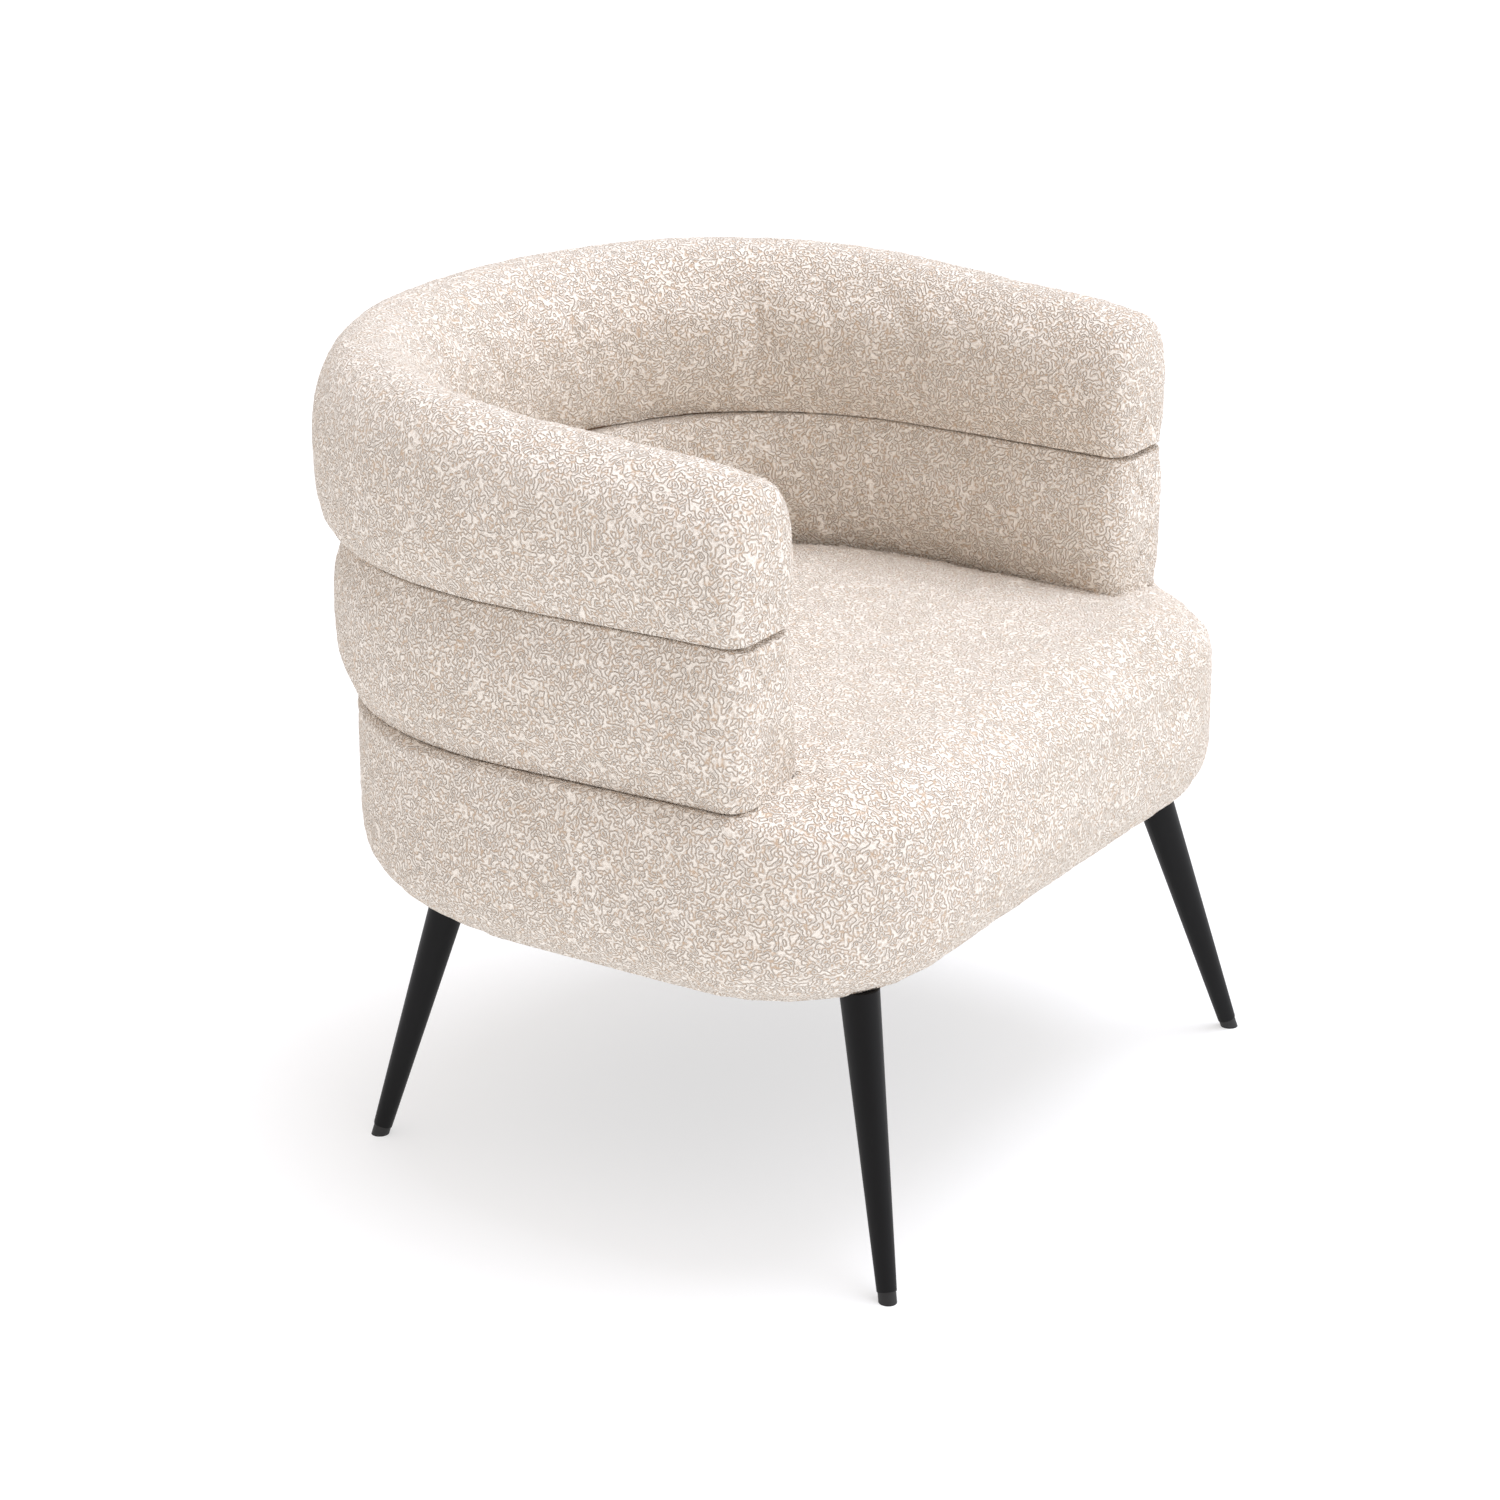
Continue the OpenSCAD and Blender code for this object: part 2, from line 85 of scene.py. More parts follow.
# Upholstery details
SLACK = 0.0015  # how far inside the final shape a cover starts before it is inflated
FLARE, FLARE_REACH = 0.009, 0.16  # the lower roll spreads inwards at its foot near the arm ends
PUFF_CAP = 0.0075  # the furthest a point of a cover may swell
PUFF_FRAMES = 20  # length of a cloth simulation
ROLL_LIFT, BLOCK_LIFT = -0.0004, 0.0022  # how far a cover swells on average
NARROW = 0.001  # what the cloth takes from a roll's width
TOP_RISE, END_RISE = 0.0025, 0.0015  # what the cloth adds to a roll's top and ends
BOARD_ROOM = 0.0045  # between the upper cover and the panel inside it
FOAM_DEPTH = 0.0012  # how far inside the CAD foam's sides a roll's cover may start
SEAM_GAP = 0.0004  # clearance at the planes where the tiers meet
SIDE_EDGE = 0.008  # rounding of the block's top edge where a roll sits on it
END_FALL, END_FALL_REACH = 0.008, 0.075  # the arm's top rounds over towards its end
TUCK, TUCK_REACH = 0.0025, 0.006  # a seam's groove: extra depth, and how far off it starts
TOP_SEAM_AT = 0.330  # the two sewn joins over the upper roll, from the middle of the back
TOP_SEAM_HALF, TOP_SEAM_HOLD = 0.0014, 0.2  # how wide and how firmly such a join is held
# the joins' grooves: width, depth and how dark the painted shadow in them is
TOP_SEAM_W, TOP_SEAM_DEPTH, TOP_SEAM_SHADOW = 0.007, 0.0004, 0.07
END_SEAM_TURN = 50  # the end panels' seam, in degrees round the rounded arm end
END_SEAM_HALF, END_SEAM_HOLD = 4.5, 0.4  # half its width in degrees, and how firmly it is held
# the end seam's groove: depth and how dark the painted shadow in it is
END_SEAM_DEPTH, END_SEAM_SHADOW = 0.0014, 0.22
END_SEAM_SHARE = 0.2  # how much of the arm end's rounding there is where the tiers touch

# Cells of the meshes before the subdivision
STEP = 0.0058
BLOCK_VOXEL = 0.0070
SEAM_STOPS = [0, 0.0022, 0.005, 0.009]  # closer points of a section beside a seam
JOIN_STEP, JOIN_REACH = 0.0024, 0.006  # closer stations beside a sewn join or an arm end
LAST_GAP = 0.0035  # the shortest last step of the stations
TOUCH_WIDER = 1.6  # how much wider the cells are where two tiers touch
TURN_COUNT = 12  # rings round a quarter turn
END_RINGS, SPINE_SHARE = 6, 0.3  # rings on an arm's flat front, and the ends of its middle line
CROWN_SHARES = (0.03, 0.07, 0.12, 0.17, 0.23, 0.29, 0.36, 0.5, 0.75)  # the seat's rings

# ---------- small maths ----------

LATTICE = np.random.default_rng(11).uniform(-1, 1, (64, 64, 64))


def noise(points, size, shift=0.0):
    """Smooth noise from -1 to 1 with features of a given size."""
    q = points / size + shift
    cell = np.floor(q).astype(int)
    f = q - cell
    f = f * f * (3 - 2 * f)
    total = np.zeros(len(points))
    for dx in (0, 1):
        for dy in (0, 1):
            for dz in (0, 1):
                corner = LATTICE[
                    (cell[:, 0] + dx) % 64, (cell[:, 1] + dy) % 64, (cell[:, 2] + dz) % 64
                ]
                share = (
                    (f[:, 0] if dx else 1 - f[:, 0])
                    * (f[:, 1] if dy else 1 - f[:, 1])
                    * (f[:, 2] if dz else 1 - f[:, 2])
                )
                total += corner * share
    return total


def smooth(x):
    x = np.clip(x, 0, 1)
    return x * x * (3 - 2 * x)


def groove(distance, width):
    """1 on a line and 0 at half its width and beyond."""
    return smooth(1 - np.abs(distance) / (width / 2))


def length_of(line):
    return np.linalg.norm(np.diff(line, axis=0), axis=1).sum()


def at_lengths(points, lengths):
    """Points of a polyline at given lengths along it."""
    along = np.r_[0, np.cumsum(np.linalg.norm(np.diff(points, axis=0), axis=1))]
    return np.stack([np.interp(lengths, along, points[:, k]) for k in range(points.shape[1])], 1)


# ---------- plan curves ----------


def superellipse(half_w, back, exponent, count=900):
    turn = np.linspace(math.pi / 2, 0, count)
    x = half_w * np.maximum(np.cos(turn), 0) ** (2 / exponent)
    y = BEND_Y + (back - BEND_Y) * np.maximum(np.sin(turn), 0) ** (2 / exponent)
    return np.stack([x, y], 1)


def horseshoe(back, exponent):
    """Outer line of a roll from the left arm's end round the back to the right arm's end."""
    run_y = np.linspace(BEND_Y, ARM_END + END_R, 160)[1:]
    run_x = HALF_W - TOE_IN * smooth((BEND_Y - run_y) / (BEND_Y - ARM_END))
    half = np.concatenate([superellipse(HALF_W, back, exponent), np.stack([run_x, run_y], 1)])
    left = half[:0:-1] * [-1, 1]
    return np.concatenate([left, half])


def normals_of(line):
    along = np.gradient(line, axis=0)
    out = np.stack([-along[:, 1], along[:, 0]], 1)
    return out / np.linalg.norm(out, axis=1)[:, None]


def block_outline():
    """Closed outline of the seat block, clockwise from the back's middle."""
    cx, cy = BLOCK_HALF_W - CORNER_R, BLOCK_FRONT + CORNER_R
    turn = np.linspace(0, math.pi / 2, 200)
    corner = np.stack([cx + CORNER_R * np.cos(turn), cy - CORNER_R * np.sin(turn)], 1)
    half = np.concatenate(
        [superellipse(BLOCK_HALF_W, BLOCK_BACK, BLOCK_EXP), corner, [[0, BLOCK_FRONT]]]
    )
    half = at_lengths(half, np.linspace(0, 1, 700) * length_of(half))
    return np.concatenate([half, half[-2:0:-1] * [-1, 1]])


def facing_out(line):
    """Outward normals of a closed outline round the middle."""
    along = np.roll(line, -1, 0) - np.roll(line, 1, 0)
    out = np.stack([-along[:, 1], along[:, 0]], 1)
    out /= np.linalg.norm(out, axis=1)[:, None]
    return -out if (out * line).sum() < 0 else out


def top_of_roll(y):
    """Top edge of the upper roll, which falls towards the arm fronts."""
    near_end = np.clip((ARM_END + END_FALL_REACH - y) / END_FALL_REACH, 0, 1)
    forward = (UPPER_BACK - y) / (UPPER_BACK - ARM_END)
    return TOP_Z - FRONT_DROP * forward**2 - END_FALL * near_end**2


# ---------- roll section ----------


def pinch(s):
    return CREASE / (ROLL_T / 2) * np.maximum(1 - s, 0) ** 3


def section_side(domed, height):
    """Right side of a roll's section from bottom to top, as shares of half width and height."""
    s = np.linspace(0, 1, 500)
    if domed:
        low = s[s <= 1 - DOME_SHARE]
        turn = np.linspace(0, math.pi / 2, 500)
        side = np.concatenate(
            [
                np.stack([1 - pinch(low / (1 - DOME_SHARE)), low], 1),
                np.stack(
                    [
                        np.cos(turn) ** (2 / DOME_EXP),
                        1 - DOME_SHARE + DOME_SHARE * np.sin(turn) ** (2 / DOME_EXP),
                    ],
                    1,
                )[1:],
            ]
        )
        from_seam = side[:, 1] * height
    else:
        side = np.stack([1 - pinch(1 - abs(2 * s - 1)), s], 1)
        from_seam = np.minimum(s, 1 - s) * height
    tuck = TUCK * np.clip(1 - from_seam / TUCK_REACH, 0, 1) ** 2
    side[:, 0] -= tuck / (ROLL_T / 2)
    return side


def section(domed, height):
    """Closed section of a roll in the same shares, and where it touches the next tier."""
    side = section_side(domed, height)
    scale = np.array([ROLL_T / 2, height])
    length = length_of(side * scale)
    near = SEAM_STOPS[-1]
    count = round((length - 2 * near) / STEP) + 1
    stops = np.r_[SEAM_STOPS[:-1], np.linspace(near, length - near * (not domed), count)]
    if not domed:
        stops = np.r_[stops, length - np.array(SEAM_STOPS[-2::-1])]
    right = at_lengths(side * scale, stops) / scale
    foot = right[0, 0]
    flat = np.linspace(-1, 1, round(2 * foot * ROLL_T / 2 / STEP / TOUCH_WIDER))[1:-1] * foot
    left = right[::-1] * [-1, 1]
    under = np.stack([flat, 0 * flat], 1)
    if domed:
        loop = np.concatenate([right[:-1], [[0, 1]], left[1:], under])
    else:
        loop = np.concatenate([right, np.stack([-flat, 0 * flat + 1], 1), left, under])
    held = (loop[:, 1] < 1e-6) | ((loop[:, 1] > 1 - 1e-6) & (not domed))
    return loop, held


def stations(length, seams):
    """Lengths from 0 to length, STEP apart and closer beside seams."""
    marks = [0.0]
    while marks[-1] < length - LAST_GAP:
        near = min([abs(marks[-1] - s) for s in seams] + [abs(length - marks[-1])])
        marks.append(marks[-1] + (JOIN_STEP if near < JOIN_REACH else STEP))
    marks[-1] = length
    return np.array(marks)


def roll_mesh(name, back, exponent, z0, domed):
    """A horseshoe roll. The attribute "held" says how firmly a seam holds each point."""
    outer = horseshoe(back, exponent)
    out = normals_of(outer)
    centre = outer - out * ROLL_T / 2
    along = np.r_[0, np.cumsum(np.linalg.norm(np.diff(centre, axis=0), axis=1))]
    middle = along[-1] / 2
    half = stations(middle, [TOP_SEAM_AT] if domed else [])
    marks = np.r_[-half[:0:-1], half] + middle
    base = np.stack([np.interp(marks, along, outer[:, k]) for k in (0, 1)], 1)
    facing = np.stack([np.interp(marks, along, out[:, k]) for k in (0, 1)], 1)
    facing /= np.linalg.norm(facing, axis=1)[:, None]
    shape, touching = section(domed, (TOP_Z if domed else UPPER_SEAM) - z0)

    def ring(p, n, shrink, ahead, step):
        """The section at p, drawn in by shrink and moved forward by step."""
        c = p - n * ROLL_T / 2 + ahead * step
        half_t = ROLL_T / 2 - SLACK - NARROW - shrink
        floor_z = z0 + SEAM_GAP + shrink * END_SEAM_SHARE
        across = shape[:, 0] * half_t
        if domed:
            roof_z = top_of_roll(p[1]) + TOP_RISE - shrink
        else:
            roof_z = UPPER_SEAM - SEAM_GAP - shrink * END_SEAM_SHARE
            near_end = smooth((ARM_END + FLARE_REACH - p[1]) / FLARE_REACH)
            across -= FLARE * near_end * (1 - shape[:, 1]) ** 1.5 * smooth(-shape[:, 0] / 0.9)
        xy = c + np.outer(across, n)
        return np.column_stack([xy, floor_z + (roof_z - floor_z) * shape[:, 1]])

    def end(p, n, ahead):
        """The rounded arm end and its flat front, as rings from the body outwards."""
        rings, seam = [], []
        for turn in np.linspace(0, 90, TURN_COUNT)[1:]:
            a = math.radians(turn)
            step = (END_R + END_RISE) * math.sin(a)
            rings.append(ring(p, n, END_R * (1 - math.cos(a)), ahead, step))
            seam.append(END_SEAM_HOLD * (abs(turn - END_SEAM_TURN) < END_SEAM_HALF))
        edge = rings[-1]
        low, high = edge[:, 2].min(), edge[:, 2].max()
        inset = (high - low) * SPINE_SHARE
        spine_z = np.clip(edge[:, 2], low + inset, high - inset)
        c = p - n * ROLL_T / 2 + ahead * (END_R + END_RISE)
        spine = np.column_stack([np.full(len(edge), c[0]), np.full(len(edge), c[1]), spine_z])
        for k in range(1, END_RINGS + 1):
            rings.append(edge + (spine - edge) * (k / END_RINGS))
            seam.append(0.0)
        return rings, seam

    body = [ring(p, n, 0, np.zeros(2), 0) for p, n in zip(base, facing)]
    body_seam = [
        float(domed and abs(abs(m - middle) - TOP_SEAM_AT) < TOP_SEAM_HALF) * TOP_SEAM_HOLD
        for m in marks
    ]
    start, start_seam = end(base[0], facing[0], np.array([-facing[0][1], facing[0][0]]))
    finish, finish_seam = end(base[-1], facing[-1], np.array([facing[-1][1], -facing[-1][0]]))
    rings = start[::-1] + body + finish
    seam = np.repeat(start_seam[::-1] + body_seam + finish_seam, len(shape))
    at_end = np.r_[np.ones(len(start)), np.zeros(len(body)), np.ones(len(finish))]
    lengths = np.r_[np.full(len(start), marks[0]), marks, np.full(len(finish), marks[-1])] - middle
    n = len(shape)
    mesh = bpy.data.meshes.new(name)
    mesh.from_pydata(np.concatenate(rings).tolist(), [], band(len(rings), n))
    put(mesh, "held", np.maximum(np.tile(touching, len(rings)), seam))
    put(mesh, "end_seam", np.where(np.repeat(at_end, n) != 0, seam, 0))
    put(mesh, "along", np.repeat(lengths, n))
    clean(mesh, merge=2e-5, shortest=1e-5)
    return mesh


# ---------- seat block ----------


EDGE_FROM, EDGE_BLEND = 0.004, 0.060  # where the edge starts to widen, ahead of the arm ends


def edge_r(y):
    """Rounding of the block's top edge: full at the front and less under the rolls."""
    return SIDE_EDGE + (TOP_R - SIDE_EDGE) * smooth((ARM_END + EDGE_FROM - y) / EDGE_BLEND)


def block_mesh(name):
    """The seat block as a closed mesh of even cells."""
    line = block_outline()[::4]
    out = facing_out(line)
    rings = []

    def add(depth, z):
        inner = line - out * np.asarray(depth).reshape(-1, 1)
        rings.append(np.column_stack([inner, np.zeros(len(line)) + z]))

    turns = np.radians(np.linspace(0, 90, TURN_COUNT))
    for a in turns:
        z = BLOCK_Z + BOTTOM_R * (1 - math.cos(a)) + SEAM_GAP
        add(BOTTOM_R * (1 - math.sin(a)) + SLACK, z)
    r = edge_r(line[:, 1])
    for a in turns[:-1]:
        add(r * (1 - math.cos(a)) + SLACK, LOWER_SEAM - SLACK - r * (1 - math.sin(a)))
    add(r + SLACK, LOWER_SEAM - SLACK)
    rim = rings[-1].copy()
    for share in CROWN_SHARES:
        ring = rim * [1 - share, 1 - share, 1]
        depth = np.linalg.norm(rim[:, :2] - ring[:, :2], axis=1)
        ring[:, 2] += SEAT_CROWN * np.sin(np.clip(depth / CROWN_W, 0, 1) * math.pi / 2)
        rings.append(ring)
    n = len(line)
    middles = [[0, 0, BLOCK_Z + SEAM_GAP], [0, 0, LOWER_SEAM - SLACK + SEAT_CROWN]]
    points = np.concatenate([*rings, middles])
    faces = band(len(rings), n)
    low, high = len(points) - 2, len(points) - 1
    last = (len(rings) - 1) * n
    for j in range(n):
        k = (j + 1) % n
        faces.append([low, k, j])
        faces.append([high, last + j, last + k])
    mesh = bpy.data.meshes.new(name)
    mesh.from_pydata(points.tolist(), [], faces)
    clean(mesh)
    return mesh


# ---------- mesh tools ----------


def band(count, n):
    """Faces between rings that have n points each."""
    faces = []
    for i in range(count - 1):
        for j in range(n):
            k = (j + 1) % n
            faces.append([i * n + j, i * n + k, (i + 1) * n + k, (i + 1) * n + j])
    return faces


def clean(mesh, merge=0, shortest=0, cut=False):
    """Merges close points, removes the shortest edges, cuts large faces and faces all outwards."""
    work = bmesh.new()
    work.from_mesh(mesh)
    if merge:
        bmesh.ops.remove_doubles(work, verts=work.verts, dist=merge)
    if shortest:
        bmesh.ops.dissolve_degenerate(work, edges=work.edges, dist=shortest)
    if cut:
        bmesh.ops.triangulate(work, faces=[f for f in work.faces if len(f.verts) > 4])
    bmesh.ops.recalc_face_normals(work, faces=work.faces)
    work.to_mesh(mesh)
    work.free()


def put(mesh, name, values):
    layer = mesh.attributes.get(name) or mesh.attributes.new(name, "FLOAT", "POINT")
    layer.data.foreach_set("value", np.asarray(values, np.float32))


def got(mesh, name):
    values = np.zeros(len(mesh.vertices), np.float32)
    mesh.attributes[name].data.foreach_get("value", values)
    return values.astype(float)


def points_of(mesh):
    co = np.zeros(len(mesh.vertices) * 3, np.float32)
    mesh.vertices.foreach_get("co", co)
    return co.reshape(-1, 3).astype(float)


def normals_at(mesh):
    co = np.zeros(len(mesh.vertices) * 3, np.float32)
    mesh.vertex_normals.foreach_get("vector", co)
    return co.reshape(-1, 3).astype(float)


def move_to(mesh, points):
    mesh.vertices.foreach_set("co", np.asarray(points, np.float32).ravel())
    mesh.update()


def new_object(name, mesh):
    made = bpy.data.objects.new(name, mesh)
    scene.collection.objects.link(made)
    return made


def settle(obj):
    """Applies the modifiers."""
    bpy.context.view_layer.update()
    graph = bpy.context.evaluated_depsgraph_get()
    mesh = bpy.data.meshes.new_from_object(
        obj.evaluated_get(graph), preserve_all_data_layers=True, depsgraph=graph
    )
    obj.modifiers.clear()
    old = obj.data
    obj.data = mesh
    bpy.data.meshes.remove(old)


def inflate(obj, lift):
    """Blows the cover up against its seams with a cloth simulation, and applies the result."""
    mesh = obj.data
    rest = points_of(mesh)
    held = got(mesh, "held")
    group = obj.vertex_groups.new(name="held")
    for weight in np.unique(held[held > 0]):
        group.add([int(v) for v in np.nonzero(held == weight)[0]], float(weight), "REPLACE")
    cloth = obj.modifiers.new("puff", "CLOTH")
    cloth.settings.quality = 4
    cloth.settings.mass = 0.3
    cloth.settings.tension_stiffness = 10
    cloth.settings.compression_stiffness = 10
    cloth.settings.bending_stiffness = 1.0
    cloth.settings.shrink_min = -0.012
    cloth.settings.use_pressure = True
    cloth.settings.uniform_pressure_force = 5
    cloth.settings.vertex_group_mass = "held"
    cloth.settings.effector_weights.gravity = 0
    cloth.collision_settings.use_collision = False
    cloth.collision_settings.use_self_collision = False
    for step in range(1, PUFF_FRAMES + 1):
        scene.frame_set(step)
    found = obj.evaluated_get(bpy.context.evaluated_depsgraph_get())
    swollen = points_of(found.data)
    obj.modifiers.clear()
    obj.vertex_groups.clear()
    scene.frame_set(1)
    moved = swollen - rest
    out = normals_at(mesh)
    free = 1 - smooth(held)
    outward = (moved * out).sum(1)
    moved += out * ((lift - np.mean(outward[free > 0.5])) * free)[:, None]
    length = np.linalg.norm(moved, axis=1)
    limit = PUFF_CAP * (1 - np.exp(-length / PUFF_CAP))
    move_to(mesh, rest + moved * (limit / np.maximum(length, 1e-9))[:, None])


def subdivide(obj):
    finer = obj.modifiers.new("finer", "SUBSURF")
    finer.levels = finer.render_levels = 1
    settle(obj)


# Lumps of the pile and the filling: height, size and shift of the noise
PILE = ((0.0006, 0.060, 0.0), (0.0004, 0.022, 3.7), (0.0005, 0.0066, 9.1), (0.0003, 0.0042, 21.3))
PILE_HELD = 0.35  # the share of their height that is left where a seam holds the cover


def pile(obj, below, above):
    """Uneven filling and the lumps of the pile, between the planes where the tiers meet."""
    mesh = obj.data
    points = points_of(mesh)
    out = normals_at(mesh)
    held = got(mesh, "held")
    free = 1 - smooth(held)
    height = sum(tall * noise(points, size, shift) for tall, size, shift in PILE)
    points += out * (height * (PILE_HELD + (1 - PILE_HELD) * free))[:, None]
    points[:, 2] = np.clip(points[:, 2], below, above)
    move_to(mesh, points)
    mesh.shade_smooth()


# ---------- node materials ----------


class Nodes:
    """Builds one material's nodes."""

    def __init__(self, name):
        self.material = bpy.data.materials.new(name)
        self.material.use_nodes = True
        self.tree = self.material.node_tree
        self.tree.nodes.clear()
        self.out = self.tree.nodes.new("ShaderNodeOutputMaterial")
        self.shader = self.tree.nodes.new("ShaderNodeBsdfPrincipled")
        self.link(self.shader, "BSDF", self.out, "Surface")
        self.where = self.add("ShaderNodeTexCoord")

    def add(self, kind, **settings):
        made = self.tree.nodes.new(kind)
        for key, value in settings.items():
            setattr(made, key, value)
        return made

    def link(self, a, a_socket, b, b_socket):
        self.tree.links.new(a.outputs[a_socket], b.inputs[b_socket])

    def place(self, stretch=(1, 1, 1)):
        """Coordinates in metres, squeezed by stretch."""
        made = self.add("ShaderNodeMapping")
        made.inputs["Scale"].default_value = stretch
        self.link(self.where, "Object", made, "Vector")
        return made, "Vector"

    def noise(self, at, scale, detail=2.0, rough=0.5, output="Fac"):
        made = self.add("ShaderNodeTexNoise")
        made.inputs["Scale"].default_value = scale
        made.inputs["Detail"].default_value = detail
        made.inputs["Roughness"].default_value = rough
        self.link(*at, made, "Vector")
        return made, output

    def math(self, operation, a, b=None, c=None):
        made = self.add("ShaderNodeMath", operation=operation)
        for index, value in enumerate((a, b, c)):
            if value is None:
                continue
            if isinstance(value, tuple):
                self.link(*value, made, index)
            else:
                made.inputs[index].default_value = value
        return made, "Value"

    def vector(self, operation, a, b=None, scale=None):
        made = self.add("ShaderNodeVectorMath", operation=operation)
        for index, value in enumerate((a, b)):
            if value is None:
                continue
            if isinstance(value[0], (int, float)):
                made.inputs[index].default_value = value
            else:
                self.link(*value, made, index)
        if scale is not None:
            made.inputs["Scale"].default_value = scale
        return made, "Vector"

    def ramp(self, value, stops):
        made = self.add("ShaderNodeValToRGB")
        marks = made.color_ramp.elements
        while len(marks) < len(stops):
            marks.new(0.5)
        for mark, (at, colour) in zip(marks, stops):
            mark.position = at
            mark.color = (*colour, 1)
        self.link(*value, made, "Fac")
        return made, "Color"

    def mix(self, share, a, b, blend="MIX"):
        made = self.add("ShaderNodeMix", data_type="RGBA", blend_type=blend)
        for index, value in ((0, share), (6, a), (7, b)):
            if isinstance(value, tuple) and not isinstance(value[0], (int, float)):
                self.link(*value, made, index)
            elif isinstance(value, tuple):
                made.inputs[index].default_value = (*value, 1)
            else:
                made.inputs[index].default_value = value
        return made, 2

    def bump(self, height, distance, strength=1.0):
        made = self.add("ShaderNodeBump")
        made.inputs["Distance"].default_value = distance
        made.inputs["Strength"].default_value = strength
        self.link(*height, made, "Height")
        self.link(made, "Normal", self.shader, "Normal")

    def colour(self, source):
        self.link(*source, self.shader, "Base Color")

    def roughness(self, value, low, high):
        made = self.add("ShaderNodeMapRange")
        made.inputs["To Min"].default_value = low
        made.inputs["To Max"].default_value = high
        self.link(*value, made, "Value")
        self.link(made, "Result", self.shader, "Roughness")

    def set(self, **values):
        for key, value in values.items():
            self.shader.inputs[key.replace("_", " ")].default_value = value


YARN_SIZE = 0.0045  # feature size of the noise whose level lines lay out the curls
YARN_TURNS = 3.2  # level lines per unit of that noise
YARN_BEND, YARN_BEND_SIZE = 0.0016, 0.0035  # how far the lines are bent, and over what length
PATCH_SIZE, LUMP_SIZE = 0.045, 0.010
# colour and strength of the painted shadow along the seams' grooves
SEAM_SHADOW_COLOUR, SEAM_SHADOW_STRENGTH = (0.36, 0.27, 0.20), 0.75


def boucle():
    """Looped boucle: short curly yarns, with painted shade darkening the gaps between them."""
    m = Nodes("boucle")
    at = m.place()
    bend = m.noise(at, 1 / YARN_BEND_SIZE, 1.0, 0.5, "Color")
    bend = m.vector("SUBTRACT", bend, (0.5, 0.5, 0.5))
    bend = m.vector("SCALE", bend, scale=YARN_BEND)
    curly = m.vector("ADD", at, bend)
    level = m.noise(curly, 1 / YARN_SIZE, 0.0)
    wave = m.math("SINE", m.math("MULTIPLY", level, 2 * math.pi * YARN_TURNS))
    wave = m.math("MULTIPLY_ADD", wave, 0.5, 0.5)
    yarn = m.math("POWER", wave, 0.75)
    patch = m.noise(at, 1 / PATCH_SIZE, 2.0)
    lump = m.noise(at, 1 / LUMP_SIZE, 1.0)
    # the darker gap colour is painted shade in the hollows between the curls
    shade = m.ramp(
        yarn,
        [
            (0.0, (0.60, 0.455, 0.33)),
            (0.25, (0.88, 0.78, 0.675)),
            (0.7, (0.955, 0.88, 0.79)),
            (1.0, (0.98, 0.92, 0.835)),
        ],
    )
    tone = m.ramp(patch, [(0.3, (0.955, 0.945, 0.93)), (0.7, (1.0, 1.0, 1.0))])
    shade = m.mix(1.0, shade, tone, "MULTIPLY")
    # painted shadow along the seams' grooves, read from the attribute seam
    seam = m.add("ShaderNodeAttribute", attribute_name="seam"), "Fac"
    m.colour(m.mix(m.math("MULTIPLY", seam, SEAM_SHADOW_STRENGTH), shade, SEAM_SHADOW_COLOUR))
    m.bump(m.math("MULTIPLY_ADD", lump, 0.8, yarn), 0.0020, 0.85)
    m.roughness(patch, 0.88, 0.97)
    m.set(Sheen_Weight=0.25, Sheen_Roughness=0.45, Specular_IOR_Level=0.25)
    m.shader.inputs["Sheen Tint"].default_value = (1.0, 0.96, 0.92, 1)
    return m.material


def black_leg():
    m = Nodes("black_leg")
    at = m.place()
    grain = m.noise(at, 900, 2.0)
    wear = m.noise(m.place((1, 1, 0.2)), 30, 3.0)
    m.colour(m.ramp(wear, [(0.3, (0.0032, 0.0032, 0.0035)), (0.7, (0.0055, 0.0055, 0.006))]))
    m.roughness(wear, 0.42, 0.52)
    m.bump(grain, 0.00008, 0.35)
    m.set(Specular_IOR_Level=0.2)
    return m.material


def glide():
    m = Nodes("glide")
    grain = m.noise(m.place(), 1400, 2.0)
    m.colour(m.ramp(grain, [(0.3, (0.006, 0.006, 0.006)), (0.7, (0.013, 0.013, 0.013))]))
    m.roughness(grain, 0.42, 0.6)
    m.bump(grain, 0.0001, 0.5)
    return m.material


def wood(name, light, dark, squeeze, scale):
    """Wood with grain or layers along the directions that squeeze makes short."""
    m = Nodes(name)
    grain = m.noise(m.place(squeeze), scale, 4.0, 0.6)
    pores = m.noise(m.place(tuple(8 * s for s in squeeze)), scale, 2.0)
    shade = m.ramp(grain, [(0.25, dark), (0.5, light), (0.8, tuple(0.9 * c for c in light))])
    m.colour(m.mix(0.15, shade, m.ramp(pores, [(0.3, dark), (0.7, light)])))
    m.roughness(grain, 0.55, 0.75)
    m.bump(pores, 0.0002, 0.5)
    return m.material


def steel():
    m = Nodes("bare_steel")
    marks = m.noise(m.place((1, 1, 6)), 300, 3.0)
    m.colour(m.ramp(marks, [(0.3, (0.52, 0.53, 0.56)), (0.7, (0.66, 0.67, 0.69))]))
    m.roughness(marks, 0.28, 0.46)
    m.bump(marks, 0.00005, 0.4)
    m.set(Metallic=1.0)
    return m.material


